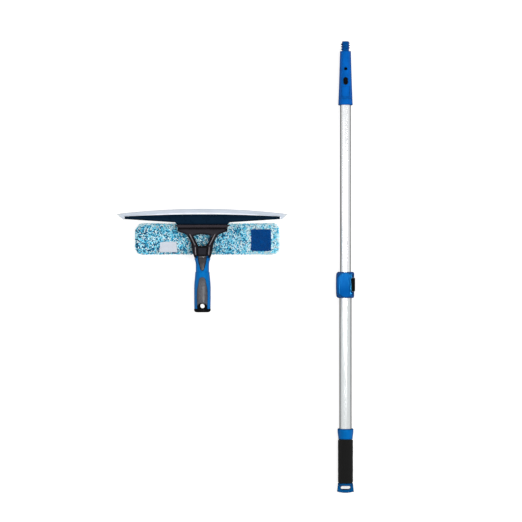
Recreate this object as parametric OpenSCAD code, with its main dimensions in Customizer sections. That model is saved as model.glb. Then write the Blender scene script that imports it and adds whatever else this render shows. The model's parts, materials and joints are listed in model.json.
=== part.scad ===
// Window cleaning squeegee: a two-in-one head (squeegee in front, microfibre scrubber behind)
// with its loose two-section telescopic pole, laid side by side on a flat surface.
// Frame: X to the right, Y up the handle and the pole, Z up from the surface, in millimetres.

/* [Layout] */
// Distance between the handle's axis and the pole's axis
axis_gap = 299; // [280:1:360]
// Height of the handle's end above the pole's end, along Y
head_rise = 378; // [300:1:420]

/* [Squeegee] */
// Length of the rubber blade, tip to tip
blade_len = 355.6; // [320:0.1:380]
// Radius of the bow that the blade is bent to
bow_r = 1404; // [1300:1:1800]
// Height of the rubber strip
blade_h = 12.6; // [11:0.1:14]
// Thickness of the rubber strip
blade_t = 2; // [1.6:0.1:2.4]
// Forward lean of the squeegee from the handle's plane
lean = 20; // [10:1:25]

/* [Handle] */
// Length of the handle up to the yoke's hub
handle_len = 113; // [112:0.5:114]
// Radius of the socket's mouth
socket_r = 13.75; // [13.5:0.05:13.9]
// Depth of the socket's tapered part
socket_depth = 76; // [74:1:78]
// Diameter of the hanging hole, which the pole's button also locks in
hang_d = 9.6; // [9.2:0.1:11.4]

/* [Scrubber] */
// Length of the sleeve
sleeve_len = 303; // [290:1:320]
// Height of the sleeve, along Y
sleeve_h = 68; // [60:1:72]
// Thickness of the sleeve with its pile
sleeve_t = 29; // [27:0.5:30]
// Side of the scouring pad
pad_side = 43; // [36:1:46]

/* [Pole] */
// Radius of the outer tube
outer_r = 12.7; // [12.6:0.05:12.8]
// Radius of the inner tube
inner_r = 11.1; // [11:0.05:11.15]
// Wall of both tubes
tube_wall = 1.1; // [0.9:0.05:1.2]
// Top of the clamp, from the pole's end
clamp_top = 462; // [455:1:470]
// Bottom edge of the locking cone, from the pole's end
cone_base = 811; // [760:1:825]
// Length of the locking cone, up to its thread
cone_len = 113; // [112:0.5:114]
// Length of the threaded tip
thread_len = 20.5; // [18:0.5:22]
// Pitch of the thread
thread_pitch = 5.08; // [4:0.01:5.5]

/* [Hidden] */
$fn = 64;
eps = 0.01;

// Handle and yoke
ring_h = 7.2;
step_y = 84;
shell_t = 2.4;
thread_bore_r = 9.9;
thread_bore_end = 98;
hang_y = 12.9;
shoulder_r = 14.6;
shoulder_end = handle_len + 4;
tongue_end = 131;
hub_y = handle_len + 0.3;
neck_depth = 14.6;
plate_front = 7;
plate_back = -6;
yoke_half = 52;
yoke_top = 175;
rail_half = 49;

// Squeegee, with heights measured in its own leaning plane
clip_y = 175.4;
clip_h = 6.9;
bow_y = clip_y + clip_h + 0.05;
tip_rise = 32.4 / cos(lean);
bow_top = 22.3 / cos(lean);
bow_end_half = 161.5;
bow_t = 7;
spine_t = 4.4;
spine_out = 7.3;
spine_in = 14.6;

// Scrubber
head_z = sleeve_t + 9;
bar_z = -23;
bar_t = 11;
bar_y = 153;
bar_h = 30;
bar_half = 137;
sleeve_left = -143;
sleeve_y = 119;
stem_half = 11;
stem_y = 116;
screw_y = [121, 130];

// Pole
cap_h = 20;
foam_top = 112;
collar_top = 134;
foam_r = 15.9;
outer_top = 428;
clamp_h = 54.6;
clamp_bottom = clamp_top - clamp_h;
inner_bottom = 392;
bush_y = inner_bottom - 6;
cone_top = cone_base + cone_len;
inner_top = cone_base + 34;
pole_len = cone_top + thread_len;
button_y = cone_base + 49.7;
dimple_y = cone_base + 75.4;
rivet_y = cone_base + 22;
cone_r0 = 15.1;
cone_r1 = 11.4;
pin_at = [14.2, 13];
lever_y = [421.6, 449.3];
lever_reach = 20.2;
shoe_y = [431, 446];
pole_z = 17;

// Places of the two assemblies, with the kit's box centred on the origin
half_width = (blade_len / 2 + axis_gap + lever_reach) / 2;
head_at = [blade_len / 2 - half_width, head_rise - pole_len / 2, head_z];
pole_at = [half_width - lever_reach, -pole_len / 2, pole_z];

module on_head() { translate(head_at) children(); }
module on_pole() { translate(pole_at) children(); }
// Turns a shape built along Z so that it runs along Y
module along_y() { rotate([-90, 0, 0]) children(); }
// Turns an outline drawn in Y and Z into a bar along X, from x0 to x1
module along_x(x0, x1) {
    translate([x0, 0, 0]) rotate([90, 0, 90]) linear_extrude(x1 - x0) children();
}
module tube(r_out, r_in, y0, y1) {
    along_y() difference() {
        translate([0, 0, y0]) cylinder(r = r_out, h = y1 - y0);
        translate([0, 0, y0 - 1]) cylinder(r = r_in, h = y1 - y0 + 2);
    }
}
module rod(r, y0, y1) { along_y() translate([0, 0, y0]) cylinder(r = r, h = y1 - y0); }
module box(x, y, z) {
    translate([x[0], y[0], z[0]]) cube([x[1] - x[0], y[1] - y[0], z[1] - z[0]]);
}
// Slot with round ends, w wide and l long in all, along Y
module stadium(w, l) {
    square([w, l - w], center = true);
    for (s = [-1, 1]) translate([0, s * (l - w) / 2]) circle(d = w);
}
module rounded(size, r) {
    square([size[0] - 2 * r, size[1]], center = true);
    square([size[0], size[1] - 2 * r], center = true);
    for (sx = [-1, 1], sy = [-1, 1])
        translate([sx * (size[0] / 2 - r), sy * (size[1] / 2 - r)]) circle(r);
}
// Helical ridge or wire. Profile points are [radius, height]; with a root radius, the ridge fades in and out
module helix(profile, pitch, turns, steps, root = undef) {
    n = floor(turns * steps);
    k = len(profile);
    function fade(i) = root == undef ? 1 : min(1, 0.2 + i / 8, 0.2 + (n - i) / 8);
    function reach(p, i) = root == undef ? p[0] : root + (p[0] - root) * fade(i);
    points = [for (i = [0:n]) for (p = profile)
        [reach(p, i) * cos(360 * i / steps), reach(p, i) * sin(360 * i / steps), p[1] + pitch * i / steps]];
    sides = [for (i = [0:n - 1]) for (j = [0:k - 1]) let (a = k * i + j, b = k * i + (j + 1) % k)
        each [[a, b, a + k], [b, b + k, a + k]]];
    first = [[for (j = [k - 1:-1:0]) j]];
    last = [[for (j = [0:k - 1]) k * n + j]];
    polyhedron(points = points, faces = concat(sides, first, last), convexity = 6);
}
module coil(r, wire, height, turns) {
    ring = [for (a = [0:60:300]) [r + wire * cos(a), wire + wire * sin(a)]];
    helix(ring, (height - 2 * wire) / turns, turns, 14);
}

// ---- Handle

lower_grip = [[16.9, ring_h], [17.25, 25], [17.25, 53], [16.6, 64], [15.6, 73], [14.7, step_y]];
upper_grip = [[13.75, step_y], [13.75, 100], [14.5, 105], [15.9, 109], [16.8, handle_len - 0.2],
    [shoulder_r, handle_len], [shoulder_r, shoulder_end]];
function shrunk(points, by) = [for (p = points) [p[0] - by, p[1]]];
function reversed(points) = [for (i = [len(points) - 1:-1:0]) points[i]];

module grip_ring(depth, thickness) {
    outer = concat(shrunk(lower_grip, depth), shrunk(upper_grip, depth));
    inner = concat(shrunk(lower_grip, thickness), shrunk(upper_grip, thickness - 0.4));
    along_y() rotate_extrude() polygon(concat(outer, reversed(inner)));
}
module panel_outline() {
    polygon([[-10.6, 7], [-11.2, 30], [-10.8, 46], [-7, 66], [7, 66], [10.8, 46], [11.2, 30], [10.6, 7]]);
    translate([0, 66]) circle(7);
}
// Tongue of the end ring that frames the hanging hole
module eyelet_outline() intersection() {
    panel_outline();
    translate([0, 8.5]) circle(11);
}
module thumb_outline() {
    polygon([[-9.3, 118], [-8.8, 113], [-7.4, 104], [-3.2, 90], [3.2, 90], [7.4, 104], [8.8, 113], [9.3, 118]]);
    translate([0, 90]) circle(3.2);
}
// Plan of the handle's open end, with round corners
module end_plan() { translate([0, 0, -30]) linear_extrude(60) translate([0, 75]) rounded([35, 150], 5.5); }
module hang_hole() { translate([0, hang_y, -30]) cylinder(d = hang_d, h = 60); }

module handle_core() color([0.10, 0.10, 0.11]) on_head() difference() {
    union() {
        intersection() {
            along_y() rotate_extrude() polygon(concat(
                [[0, 0], [15.2, 0], [15.2, ring_h], [14.5, ring_h]],
                shrunk(lower_grip, shell_t), shrunk(upper_grip, shell_t - 0.4), [[0, shoulder_end]]));
            end_plan();
        }
        box([-7, 7], [shoulder_end - 1, tongue_end], [-5.5, 5.5]);
    }
    rod(socket_r, -1, 7);
    along_y() translate([0, 0, 7 - eps]) cylinder(r1 = 13.6, r2 = 11.5, h = socket_depth - 7 + eps);
    rod(thread_bore_r, socket_depth - eps, thread_bore_end);
    hang_hole();
    box([-4.2, 4.2], [120.6, 125.4], [-6, -3.9]);
}
module handle_shell() color([0.03, 0.36, 0.72]) on_head() difference() {
    grip_ring(0, shell_t);
    translate([0, 0, -30]) linear_extrude(60) { panel_outline(); thumb_outline(); }
}
module grip_panels() color([0.24, 0.23, 0.25]) on_head() intersection() {
    grip_ring(0.35, shell_t - 0.06);
    for (s = [-1, 1]) translate([0, 0, s * 15 - 15]) linear_extrude(30) difference() {
        panel_outline();
        eyelet_outline();
    }
}
module thumb_pads() color([0.20, 0.20, 0.22]) on_head() intersection() {
    grip_ring(0.35, shell_t);
    for (s = [-1, 1]) translate([0, 0, s * 15 - 15]) linear_extrude(30) thumb_outline();
}
module end_ring() color([0.05, 0.05, 0.06]) on_head() difference() {
    union() {
        intersection() {
            along_y() rotate_extrude() polygon([
                [15.2, 0], [15.8, 0.2], [16.6, 0.9], [17.2, 2.1], [17.5, 3.8], [17.5, 6.2], [17.2, 6.9],
                [16.6, ring_h], [15.2, ring_h]]);
            end_plan();
        }
        intersection() {
            grip_ring(0.2, shell_t - 0.06);
            for (s = [-1, 1]) translate([0, 0, s * 15 - 15]) linear_extrude(30) eyelet_outline();
        }
    }
    hang_hole();
}

// ---- Yoke

module yoke_outline() difference() {
    union() {
        polygon([
            [-16.1, hub_y], [16.1, hub_y], [17.9, 118], [19.4, 123], [20.8, 128],
            [-20.8, 128], [-19.4, 123], [-17.9, 118]]);
        translate([-yoke_half, 127]) square([2 * yoke_half, yoke_top - 127]);
    }
    for (s = [-1, 1]) {
        intersection() {
            translate([s * 73, 128]) circle(52);
            translate([s * 56, 129]) circle(39);
        }
        polygon([[s * 50, 120], [s * 50, 168.2], [s * 54, 173], [s * 54, 120]]);
    }
}
// Edge of the window, as a line that widens by w
module window_side(near, far) polygon([
    [8.4 + near, 138], [22.2 + near, 165], [22.2 + far, 165], [8.4 + far, 138]]);
module window_outline() intersection() {
    polygon([[-8.4, 138], [8.4, 138], [22.2, 165], [-22.2, 165]]);
    translate([0, 110.1]) circle(52.5);
}
module latch_outline(grow) polygon([
    [-8.8 - grow, 117.9 - grow], [8.8 + grow, 117.9 - grow], [10.5 + grow, 134], [9, 135.6 + grow],
    [-9, 135.6 + grow], [-10.5 - grow, 134]]);
module yoke() color([0.13, 0.12, 0.13]) on_head() difference() {
    union() {
        intersection() {
            translate([0, 0, -20]) linear_extrude(40) yoke_outline();
            along_x(-60, 60) polygon([
                [hub_y, -neck_depth], [134, -neck_depth], [146, plate_back], [yoke_top, plate_back],
                [yoke_top, plate_front - 2], [yoke_top - 1.8, plate_front], [146, plate_front],
                [130, neck_depth - 0.6], [hub_y, neck_depth]]);
            union() {
                rod(60, 139, yoke_top + 1);
                rod(23.5, hub_y, 140);
            }
        }
        // raised ribs along the arms
        intersection() {
            for (s = [0, 1]) mirror([s, 0, 0]) linear_extrude(30) window_side(5, 7);
            along_x(-60, 60) polygon([[137, 10], [146, 6], [161, 6], [161, 8.2], [146, 8.2], [137, 12.3]]);
        }
        box([-rail_half, rail_half], [yoke_top - 1, 178.2], [-1.5, 1.5]);
        box([-rail_half, rail_half], [178, 180.4], [-3, 3]);
    }
    translate([0, 0, -30]) linear_extrude(60) window_outline();
    // seat of the handle's shoulder, open in front, then the slot for its tongue
    rod(shoulder_r + 0.05, hub_y - 1, shoulder_end + 0.3);
    box([-shoulder_r, shoulder_r], [hub_y - 1, shoulder_end + 0.3], [0, 20]);
    box([-7.1, 7.1], [shoulder_end, tongue_end + 0.3], [-5.6, 5.6]);
    // shaft of the release button
    translate([0, 0, 8.7]) linear_extrude(12) latch_outline(0.35);
    box([-9.7, 9.7], [119.6, 126.4], [-10.9, 9]);
    translate([0, 131, 5]) cylinder(r = 2.6, h = 10);
    for (y = screw_y) translate([0, y, -20]) cylinder(r = 1.5, h = 8);
}
module release_button() color([0.17, 0.16, 0.18]) on_head() union() {
    translate([0, 0, 11]) linear_extrude(3.4) latch_outline(0);
    translate([0, 0, 14.4]) linear_extrude(0.8) latch_outline(-0.8);
    for (s = [0, 1]) mirror([s, 0, 0]) box([7.5, 9.3], [120, 126], [-8.5, 11.5]);
    box([-9.3, 9.3], [120, 126], [-8.5, -6.1]);
    box([-3.9, 3.9], [121, 125], [-6.5, -4.5]);
}
module button_coil() color([0.75, 0.76, 0.78]) on_head()
    translate([0, 131, 5.1]) coil(1.9, 0.35, 5.8, 4);

// ---- Squeegee, in a plane that leans forward about the top of the clip

bow_base_v = (188.4 - bow_y) / cos(lean);
bow_end_v = (195 - bow_y) / cos(lean);
arc_v = tip_rise - bow_r;
function arc_end(r) = asin(r / bow_r);

module leaning() { translate([0, bow_y, 0]) rotate([lean, 0, 0]) children(); }
// Ring about the bow's centre, from inner to outer radius, t thick
module bow_ring(r_in, r_out, t, half) {
    angle = 2 * arc_end(half);
    translate([0, arc_v, 0]) rotate([0, 0, 90 - angle / 2]) rotate_extrude(angle = angle, $fn = 180)
        translate([r_in, -t / 2]) square([r_out - r_in, t]);
}
module bow_outline() {
    crown_r = 2800;
    crown_end = bow_top - (crown_r - sqrt(pow(crown_r, 2) - pow(bow_end_half, 2)));
    intersection() {
        polygon([
            [-51.5, -4], [51.5, -4], [51.5, 0.4], [56.8, bow_base_v], [bow_end_half, bow_end_v],
            [bow_end_half, crown_end + 20], [-bow_end_half, crown_end + 20],
            [-bow_end_half, bow_end_v], [-56.8, bow_base_v], [-51.5, 0.4]]);
        translate([0, bow_top - crown_r]) circle(crown_r, $fn = 720);
    }
}
module blade_clip() color([0.16, 0.15, 0.17]) on_head() difference() {
    intersection() {
        translate([0, 0, -10]) linear_extrude(20) polygon([
            [-50.8, clip_y], [50.8, clip_y], [53, clip_y + 2.5], [57.4, clip_y + clip_h - 1], [57.4, clip_y + clip_h],
            [-57.4, clip_y + clip_h], [-57.4, clip_y + clip_h - 1], [-53, clip_y + 2.5]]);
        along_x(-60, 60) polygon([
            [clip_y, -6.5], [clip_y + clip_h, -6.5], [clip_y + clip_h, 7.5], [clip_y + 1.5, 7.5], [clip_y, 6]]);
    }
    box([-60, 60], [clip_y - 1, 178.5], [-1.8, 1.8]);
    box([-60, 60], [177.7, 180.7], [-3.3, 3.3]);
}
module bow_channel() color([0.07, 0.12, 0.18]) on_head() difference() {
    leaning() difference() {
        translate([0, 0, -bow_t / 2]) linear_extrude(bow_t) bow_outline();
        bow_ring(bow_r - spine_in - 0.15, bow_r + 4, spine_t + 0.3, 176);
    }
    box([-80, 80], [clip_y, bow_y], [-20, 20]);
}
module blade_spine() color([0.90, 0.92, 0.95]) on_head() leaning() difference() {
    intersection() {
        bow_ring(bow_r - spine_in, bow_r - spine_out, spine_t, 165);
        translate([0, 0, -5]) linear_extrude(10) polygon([
            [-56, bow_base_v + 1], [56, bow_base_v + 1], [164, bow_end_v + 0.6], [164, 40], [-164, 40],
            [-164, bow_end_v + 0.6]]);
    }
    bow_ring(bow_r - blade_h - 0.15, bow_r + 4, blade_t + 0.3, 176);
}
module rubber_blade() color([0.80, 0.81, 0.85]) on_head() leaning() intersection() {
    bow_ring(bow_r - blade_h, bow_r, blade_t, 179);
    slant = 15;
    tip_v = tip_rise - 11.3;
    translate([0, 0, -5]) linear_extrude(10) polygon([
        [-blade_len / 2, tip_v], [-blade_len / 2 + slant, tip_v - 13], [blade_len / 2 - slant, tip_v - 13],
        [blade_len / 2, tip_v], [blade_len / 2, 40], [-blade_len / 2, 40]]);
}

// ---- Scrubber

module bar_section(grow) {
    translate([bar_y, bar_z]) {
        square([bar_h - bar_t, bar_t + 2 * grow], center = true);
        for (s = [-1, 1]) translate([s * (bar_h - bar_t) / 2, 0]) circle(bar_t / 2 + grow);
    }
}
module scrubber_bar() color([0.12, 0.12, 0.13]) on_head() difference() {
    union() {
        along_x(-bar_half, bar_half) bar_section(0);
        box([-stem_half, stem_half], [stem_y, bar_y], [bar_z - bar_t / 2, bar_z + bar_t / 2]);
        box([-stem_half, stem_half], [stem_y, 134], [bar_z, -neck_depth]);
    }
    for (y = screw_y) translate([0, y, -40]) {
        cylinder(r = 1.6, h = 30);
        cylinder(r = 3.2, h = 40 + bar_z - bar_t / 2 + 2.2);
    }
}
module stem_screws() color([0.72, 0.73, 0.75]) on_head() for (y = screw_y)
    translate([0, y, bar_z - bar_t / 2 + 0.2]) difference() {
        union() {
            cylinder(r = 3, h = 2);
            cylinder(r = 1.45, h = 16.1);
        }
        for (a = [0, 90]) rotate([0, 0, a]) cube([3.4, 0.8, 2], center = true);
    }
module scrubber_sleeve() color([0.45, 0.73, 0.86]) on_head() difference() {
    along_x(sleeve_left, sleeve_left + sleeve_len)
        translate([sleeve_y + sleeve_h / 2, sleeve_t / 2 - head_z]) rounded([sleeve_h, sleeve_t], 12);
    along_x(-bar_half - 0.3, bar_half + 0.3) bar_section(0.2);
    box([-stem_half - 0.5, stem_half + 0.5], [sleeve_y - 2, bar_y], [bar_z - bar_t / 2 - 0.5, 0]);
    box([-22.6, 22.6], [sleeve_y - 2, 142.6], [-neck_depth - 0.6, 0]);
}
module scouring_pad() color([0.03, 0.22, 0.50]) on_head()
    translate([121.8, 150.4, sleeve_t - head_z]) linear_extrude(2.4) rounded([pad_side, pad_side + 3], 5);
module care_label() color([0.86, 0.87, 0.91]) on_head()
    translate([-71.4, 136, sleeve_t - head_z]) linear_extrude(0.7) square([35.8, 21.6], center = true);

// ---- Pole: outer section

module outer_tube() color([0.86, 0.87, 0.88]) on_pole() difference() {
    tube(outer_r, outer_r - tube_wall, cap_h, outer_top);
    translate([-20, 26, 0]) rotate([0, 90, 0]) cylinder(r = 1.6, h = 40);
    translate([-20, 414, 0]) rotate([0, 90, 0]) cylinder(r = 1.6, h = 16);
}
module foam_grip() color([0.12, 0.12, 0.12]) on_pole() along_y() rotate_extrude() polygon([
    [outer_r, cap_h], [15, cap_h], [foam_r - 0.2, cap_h + 1.2], [foam_r, cap_h + 3], [foam_r, foam_top - 3],
    [foam_r - 0.2, foam_top - 1.2], [15, foam_top], [outer_r, foam_top]]);
module grip_collar() color([0.04, 0.40, 0.74]) on_pole() along_y() rotate_extrude() polygon([
    [outer_r, foam_top + 0.2], [15, foam_top + 0.2], [15.3, foam_top + 5], [16.6, foam_top + 15],
    [16.7, collar_top - 1.4], [16.1, collar_top - 0.3], [15.4, collar_top], [outer_r, collar_top]]);
module end_cap() color([0.02, 0.32, 0.62]) on_pole() difference() {
    union() {
        intersection() {
            translate([0, 0, -9]) linear_extrude(18) union() {
                polygon([[-17.2, 3], [-15.3, 19.8], [15.3, 19.8], [17.2, 3]]);
                intersection() {
                    translate([0, 60]) circle(60);
                    translate([-17.6, 0]) square([35.2, 3.1]);
                }
            }
            along_x(-20, 20) polygon([[0, -7.5], [20, -9], [20, 9], [0, 7.5]]);
        }
        along_y() translate([0, 0, 15]) cylinder(r = 15.3, h = 4.8);
        rod(outer_r - tube_wall, 19, 34);
    }
    translate([0, 10.6, -20]) linear_extrude(40) rotate(90) stadium(7.4, 20.4);
    rod(9, 22, 40);
    translate([-20, 26, 0]) rotate([0, 90, 0]) cylinder(r = 1.6, h = 40);
}
module end_cap_pin() color([0.70, 0.71, 0.73]) on_pole()
    translate([-12.6, 26, 0]) rotate([0, 90, 0]) cylinder(r = 1.55, h = 25.2);

// ---- Pole: clamp

module at_pin() { translate([pin_at[0], 0, pin_at[1]]) children(); }
module clamp_section() intersection() {
    translate([-0.85, 0]) rounded([37.7, 34], 8);
    for (s = [0, 1]) mirror([0, s]) translate([0, -73]) circle(90, $fn = 240);
}
module clamp_body() color([0.02, 0.40, 0.76]) on_pole() difference() {
    intersection() {
        along_y() translate([0, 0, clamp_bottom]) linear_extrude(clamp_h) clamp_section();
        along_y() rotate_extrude() polygon([
            [0, clamp_bottom], [15.4, clamp_bottom], [16.6, clamp_bottom + 0.6], [18, clamp_bottom + 2],
            [19.2, clamp_bottom + 4], [20.8, clamp_bottom + 6], [23, clamp_bottom + 11],
            [23, clamp_top - 11], [20.8, clamp_top - 6], [19.2, clamp_top - 4], [18, clamp_top - 2],
            [16.6, clamp_top - 0.6], [15.4, clamp_top], [0, clamp_top]]);
        translate([400.3, clamp_bottom + clamp_h / 2, -25]) linear_extrude(50) circle(420, $fn = 360);
    }
    rod(outer_r + 0.02, clamp_bottom - 1, outer_top + 0.2);
    rod(inner_r + 0.2, outer_top, clamp_top + 1);
    // pocket for the lever, its knuckle and the shoe
    at_pin() rod(4.9, lever_y[0] - 0.4, lever_y[1] + 0.4);
    box([15.6, 30], [lever_y[0] - 0.4, lever_y[1] + 0.4], [-20, 30]);
    box([pin_at[0], 30], [lever_y[0] - 0.4, lever_y[1] + 0.4], [pin_at[1] - 2, 30]);
    // chamber that the shoe shifts in, across the tube
    along_y() translate([0, 0, shoe_y[0] - 0.3]) linear_extrude(shoe_y[1] - shoe_y[0] + 0.6) intersection() {
        union() {
            translate([0.3, 0]) circle(14.3);
            translate([7.2, -15]) square([4, 7]);
        }
        translate([2.6, -20]) square([20, 40]);
    }
    at_pin() rod(1.55, lever_y[0] - 5, lever_y[1] + 5);
    translate([-20, 414, 0]) rotate([0, 90, 0]) cylinder(r = 1.6, h = 16);
}
module clamp_rivet() color([0.72, 0.73, 0.75]) on_pole()
    translate([-19, 414, 0]) rotate([0, 90, 0]) cylinder(r = 1.55, h = 7.2);
module clamp_lever() color([0.03, 0.03, 0.035]) on_pole() difference() {
    union() {
        at_pin() rod(3.9, lever_y[0], lever_y[1]);
        at_pin() translate([-0.4, 0, -0.36]) rod(3.9, shoe_y[0] + 0.5, shoe_y[1] - 0.5);
        box([16, 17.8], [lever_y[0], lever_y[1]], [-12, pin_at[1]]);
        along_y() translate([0, 0, lever_y[0]]) linear_extrude(lever_y[1] - lever_y[0]) intersection() {
            translate([16, -pin_at[1]]) square([lever_reach - 16, pin_at[1] + 13]);
            translate([-28.2, 0]) circle(48.4);
        }
    }
    at_pin() rod(1.6, lever_y[0] - 1, lever_y[1] + 1);
}
module lever_pin() color([0.75, 0.76, 0.78]) on_pole() at_pin() rod(1.5, lever_y[0] - 4, lever_y[1] + 4);
// Saddle beside the inner tube, with an ear that the lever's knuckle pushes across
module clamp_shoe() color([0.80, 0.80, 0.78]) on_pole() difference() {
    intersection() {
        union() {
            rod(13.6, shoe_y[0], shoe_y[1]);
            box([7.6, 9.86], [shoe_y[0], shoe_y[1]], [9, 14.4]);
        }
        box([3.2, 20], [shoe_y[0] - 1, shoe_y[1] + 1], [-20, 20]);
    }
    rod(inner_r + 0.1, shoe_y[0] - 1, shoe_y[1] + 1);
}

// ---- Pole: inner section and cone

module glide_bush() color([0.85, 0.85, 0.83]) on_pole() difference() {
    union() {
        rod(outer_r - tube_wall - 0.1, bush_y, inner_bottom - 0.1);
        rod(inner_r - tube_wall - 0.05, inner_bottom - 1, inner_bottom + 14);
    }
    rod(7.5, bush_y - 1, inner_bottom + 15);
}
module inner_tube() color([0.90, 0.91, 0.92]) on_pole() difference() {
    tube(inner_r, inner_r - tube_wall, inner_bottom, inner_top);
    translate([-20, rivet_y, 0]) rotate([0, 90, 0]) cylinder(r = 1.6, h = 40);
}
module locking_cone() color([0.02, 0.38, 0.78]) on_pole() difference() {
    along_y() rotate_extrude() polygon([
        [0, cone_base], [cone_r0 - 0.5, cone_base], [cone_r0, cone_base + 0.8], [cone_r0 - 0.35, cone_base + 12.6],
        [cone_r0 - 0.65, cone_base + 13], [cone_r0 - 0.65, cone_base + 13.9], [cone_r0 - 0.45, cone_base + 14.3],
        [13.66, cone_base + 37], [cone_r1, cone_top - 0.8], [cone_r1 - 0.6, cone_top], [0, cone_top]]);
    rod(inner_r, cone_base - 1, inner_top);
    rod(6.9, cone_top - 12, cone_top + 1);
    // shaft of the lock button, open below to the tube's seat
    translate([0, button_y, 0]) linear_extrude(20) stadium(9.2, 15.8);
    translate([0, button_y, -8]) linear_extrude(14.5) stadium(11.6, 18.2);
    box([-5.8, 5.8], [inner_top - 1, button_y], [-8, 6.5]);
    translate([0, dimple_y, 4.5]) cylinder(r = 3.25, h = 12);
    // shallow panel below the button
    intersection() {
        along_y() rotate_extrude() polygon([
            [14, cone_base + 17], [13.2, cone_base + 38.5], [17, cone_base + 38.5], [17, cone_base + 17]]);
        box([-8.5, 8.5], [cone_base + 16, cone_base + 39], [0, 20]);
    }
    translate([-20, rivet_y, 0]) rotate([0, 90, 0]) cylinder(r = 1.6, h = 40);
}
module threaded_tip() color([0.02, 0.32, 0.68]) on_pole() along_y() translate([0, 0, cone_top]) union() {
    translate([0, 0, -11.5]) cylinder(r = 6.85, h = 12);
    cylinder(r = 7.3, h = thread_len - 0.8);
    translate([0, 0, thread_len - 1.6]) cylinder(r = 6.6, h = 1.6);
    translate([0, 0, 1.9]) helix(
        [[7.1, -1.5], [9.4, -0.75], [9.4, 0.75], [7.1, 1.5]],
        thread_pitch, (thread_len - 4) / thread_pitch, 24, 7);
}
module cone_rivet() color([0.72, 0.73, 0.75]) on_pole()
    translate([-14.3, rivet_y, 0]) rotate([0, 90, 0]) cylinder(r = 1.55, h = 28.6);
module lock_button() color([0.04, 0.04, 0.05]) on_pole() translate([0, button_y, 0]) union() {
    translate([0, 0, 5]) linear_extrude(8) stadium(8.9, 15.4);
    translate([0, 0, 4]) linear_extrude(2) stadium(11, 17.4);
    translate([0, 0, 12.9]) cylinder(r = 4.3, h = 1.6);
    translate([0, 0, 14.5]) cylinder(r1 = 4.3, r2 = 3.4, h = 0.7);
}
module lock_coil() color([0.75, 0.76, 0.78]) on_pole()
    translate([0, button_y, -8]) coil(3.2, 0.4, 12, 5);

handle_core();
handle_shell();
grip_panels();
thumb_pads();
end_ring();
yoke();
release_button();
button_coil();
blade_clip();
bow_channel();
blade_spine();
rubber_blade();
scrubber_bar();
stem_screws();
scrubber_sleeve();
scouring_pad();
care_label();
outer_tube();
foam_grip();
grip_collar();
end_cap();
end_cap_pin();
clamp_body();
clamp_rivet();
clamp_lever();
lever_pin();
clamp_shoe();
glide_bush();
inner_tube();
locking_cone();
threaded_tip();
cone_rivet();
lock_button();
lock_coil();
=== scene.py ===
import json
import math

import bmesh
import bpy
import numpy as np
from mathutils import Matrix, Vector, noise
from mathutils.bvhtree import BVHTree


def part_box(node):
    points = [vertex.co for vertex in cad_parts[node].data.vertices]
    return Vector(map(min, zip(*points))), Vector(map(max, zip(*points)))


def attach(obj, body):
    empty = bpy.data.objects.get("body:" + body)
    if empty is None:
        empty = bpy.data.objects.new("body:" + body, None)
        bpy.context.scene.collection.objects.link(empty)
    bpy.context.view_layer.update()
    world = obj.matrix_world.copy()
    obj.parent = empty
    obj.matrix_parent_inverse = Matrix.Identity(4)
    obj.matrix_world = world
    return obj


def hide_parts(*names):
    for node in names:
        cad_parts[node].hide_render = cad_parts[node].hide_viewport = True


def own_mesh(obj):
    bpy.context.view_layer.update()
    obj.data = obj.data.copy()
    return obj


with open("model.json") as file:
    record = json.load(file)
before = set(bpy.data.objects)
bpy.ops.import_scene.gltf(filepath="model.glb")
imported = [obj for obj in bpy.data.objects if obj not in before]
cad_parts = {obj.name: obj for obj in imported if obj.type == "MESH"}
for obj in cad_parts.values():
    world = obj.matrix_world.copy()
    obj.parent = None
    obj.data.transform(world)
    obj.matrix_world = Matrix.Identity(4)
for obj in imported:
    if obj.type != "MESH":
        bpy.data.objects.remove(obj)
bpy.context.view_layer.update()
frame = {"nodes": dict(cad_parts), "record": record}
scene = bpy.context.scene
MM = 0.001


# ---- Materials


def srgb(r, g, b):
    """A colour given as 0 to 255 on screen, as the scene-linear value that a shader takes."""
    scaled = [c / 255 for c in (r, g, b)]
    return (*[c / 12.92 if c <= 0.04045 else ((c + 0.055) / 1.055) ** 2.4 for c in scaled], 1.0)


def scaled_colour(colour, by):
    return (*[min(c * by, 1.0) for c in colour[:3]], 1.0)


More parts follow.
